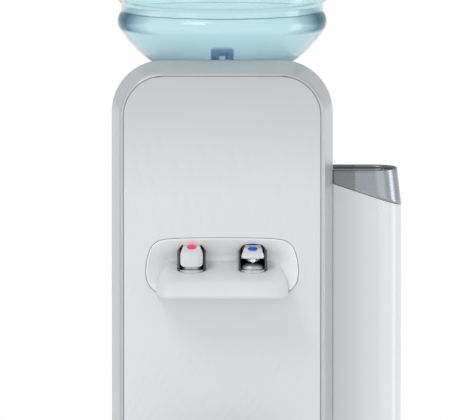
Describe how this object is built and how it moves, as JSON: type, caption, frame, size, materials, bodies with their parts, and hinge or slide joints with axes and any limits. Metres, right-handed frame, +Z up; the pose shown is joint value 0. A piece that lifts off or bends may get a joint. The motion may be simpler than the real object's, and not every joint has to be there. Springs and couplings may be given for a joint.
{
  "type": "top-load water cooler",
  "caption": "Floor-standing water cooler with an inverted ribbed bottle on top, push-down hot and cold taps over a drip tray, and a side cup dispenser.",
  "frame": {"origin": "on the floor, under the bottle's vertical axis", "axes": "+Z up along the bottle's axis, front with the taps towards -Y, cup dispenser on the +X side"},
  "size_m": [0.3718, 0.4363, 1.379],
  "materials": {
    "arch_silver": "satin silver paint",
    "panel_pearl": "pearl white, embossed with fine slanting ripples",
    "console_pearl": "smooth pearl white",
    "cabinet_silver": "satin silver paint",
    "zinc_sheet": "plain zinc-coated sheet",
    "dark_base": "matte dark grey",
    "foot_rubber": "matte",
    "tap_black": "glossy black",
    "tap_bonnet": "satin",
    "lever_white": "glossy white",
    "hot_red": "glossy red",
    "cold_blue": "glossy blue",
    "steel_pin": "bright",
    "stem_chrome": "fluted chrome head",
    "spring_steel": "bright",
    "spout_white": "glossy",
    "bottle_blue": "clear blue polycarbonate",
    "cap_blue": "matte",
    "seat_white": "glossy",
    "tray_white": "glossy pearl white",
    "grille_grey": "matte grey",
    "tank_steel": "satin",
    "foam_white": "moulded foam",
    "copper": "bare copper",
    "baffle_white": "matte",
    "heater_band": "satin",
    "jacket_wool": "glass-wool jacket",
    "hose_clear": "silicone hose",
    "compressor_black": "gloss black",
    "condenser_black": "satin black",
    "plate_black": "matte",
    "rocker_red": "glossy red",
    "rocker_green": "glossy green",
    "thermostat_grey": "matte",
    "drain_white": "matte",
    "screw_steel": "bright",
    "cup_body": "glossy pale grey",
    "cup_cap_grey": "metallic grey, glossy",
    "cup_tube_clear": "smooth"
  },
  "bodies": {
    "cabinet": {"arch_frame": "arch_silver", "back_panel": "zinc_sheet", "band_heater": "heater_band", "base_tray": "dark_base", "bottle_collar": "seat_white", "bulkhead": "zinc_sheet", "cold_hose": "hose_clear", "cold_spring": "spring_steel", "cold_tank": "tank_steel", "compressor": "compressor_black", "compressor_grommets": "foot_rubber", "condenser": "condenser_black", "condenser_wires": "condenser_black", "console": "console_pearl", "cup_retainer": "dark_base", "cup_shell": "cup_body", "cup_tube": "cup_tube_clear", "drain_spigot": "drain_white", "drip_shelf": "tray_white", "evaporator_coil": "copper", "feed_probe": "seat_white", "front_panel": "panel_pearl", "hot_hose": "hose_clear", "hot_jacket": "jacket_wool", "hot_spring": "spring_steel", "hot_tank": "tank_steel", "lever_pins": "steel_pin", "liquid_line": "copper", "panel_screws": "screw_steel", "power_inlet": "plate_black", "rubber_feet": "foot_rubber", "side_panel_left": "cabinet_silver", "side_panel_right": "cabinet_silver", "suction_line": "copper", "switch_plate": "plate_black", "tank_baffle": "baffle_white", "tank_foam": "foam_white", "tank_lid": "baffle_white", "tank_shelves": "zinc_sheet", "tap_bodies": "tap_bonnet", "tap_housings": "tap_black", "tap_plugs": "tap_bonnet", "tap_spouts": "spout_white", "thermostat": "thermostat_grey", "top_deck": "cabinet_silver"},
    "bottle": {"bottle": "bottle_blue", "bottle_cap": "cap_blue"},
    "hot_lever": {"hot_lever": "lever_white", "hot_marker": "hot_red"},
    "cold_lever": {"cold_lever": "lever_white", "cold_marker": "cold_blue"},
    "hot_stem": {"hot_stem": "stem_chrome"},
    "cold_stem": {"cold_stem": "stem_chrome"},
    "drip_tray": {"drip_tray": "tray_white"},
    "drip_grille": {"drip_grille": "grille_grey"},
    "hot_switch": {"hot_switch": "rocker_red"},
    "cold_switch": {"cold_switch": "rocker_green"},
    "thermostat_knob": {"thermostat_knob": "thermostat_grey"},
    "drain_cap": {"drain_cap": "dark_base"},
    "cup_cap": {"cup_cap": "cup_cap_grey"}
  },
  "joints": [
    {"name": "bottle_lift", "type": "slide", "parent": "cabinet", "child": "bottle", "axis": [0, 0, 1], "range_m": [0, 0.12]},
    {"name": "hot_press", "type": "hinge", "parent": "cabinet", "child": "hot_lever", "pos_m": [-0.039, -0.162, 0.72049], "axis": [1, 0, 0], "range_deg": [0, 8], "stiffness_Nm_per_rad": 0.3, "springref_deg": -5.73},
    {"name": "cold_press", "type": "hinge", "parent": "cabinet", "child": "cold_lever", "pos_m": [0.039, -0.162, 0.72049], "axis": [1, 0, 0], "range_deg": [0, 8], "stiffness_Nm_per_rad": 0.3, "springref_deg": -5.73},
    {"name": "hot_stem_slide", "type": "slide", "parent": "cabinet", "child": "hot_stem", "axis": [0, 0, -1], "range_m": [0, 0.0014], "deforming": ["hot_spring"]},
    {"name": "cold_stem_slide", "type": "slide", "parent": "cabinet", "child": "cold_stem", "axis": [0, 0, -1], "range_m": [0, 0.0014], "deforming": ["cold_spring"]},
    {"name": "drip_tray_lift", "type": "slide", "parent": "cabinet", "child": "drip_tray", "axis": [0, 0, 1], "range_m": [0, 0.05]},
    {"name": "drip_grille_lift", "type": "slide", "parent": "drip_tray", "child": "drip_grille", "axis": [0, 0, 1], "range_m": [0, 0.03]},
    {"name": "hot_switch_rock", "type": "hinge", "parent": "cabinet", "child": "hot_switch", "pos_m": [-0.02, 0.1465, 0.798], "axis": [1, 0, 0], "range_deg": [-9, 9]},
    {"name": "cold_switch_rock", "type": "hinge", "parent": "cabinet", "child": "cold_switch", "pos_m": [0.02, 0.1465, 0.798], "axis": [1, 0, 0], "range_deg": [-9, 9]},
    {"name": "thermostat_turn", "type": "hinge", "parent": "cabinet", "child": "thermostat_knob", "pos_m": [0, 0.15, 0.752], "axis": [0, 1, 0], "range_deg": [-135, 135]},
    {"name": "drain_cap_pull", "type": "slide", "parent": "cabinet", "child": "drain_cap", "axis": [0, 1, 0], "range_m": [0, 0.02]},
    {"name": "cup_cap_lift", "type": "slide", "parent": "cabinet", "child": "cup_cap", "axis": [0, 0, 1], "range_m": [0, 0.06]}
  ],
  "couplings": [
    {"joint": "hot_stem_slide", "follows": "hot_press", "m_per_rad": 0.0095},
    {"joint": "cold_stem_slide", "follows": "cold_press", "m_per_rad": 0.0095}
  ]
}
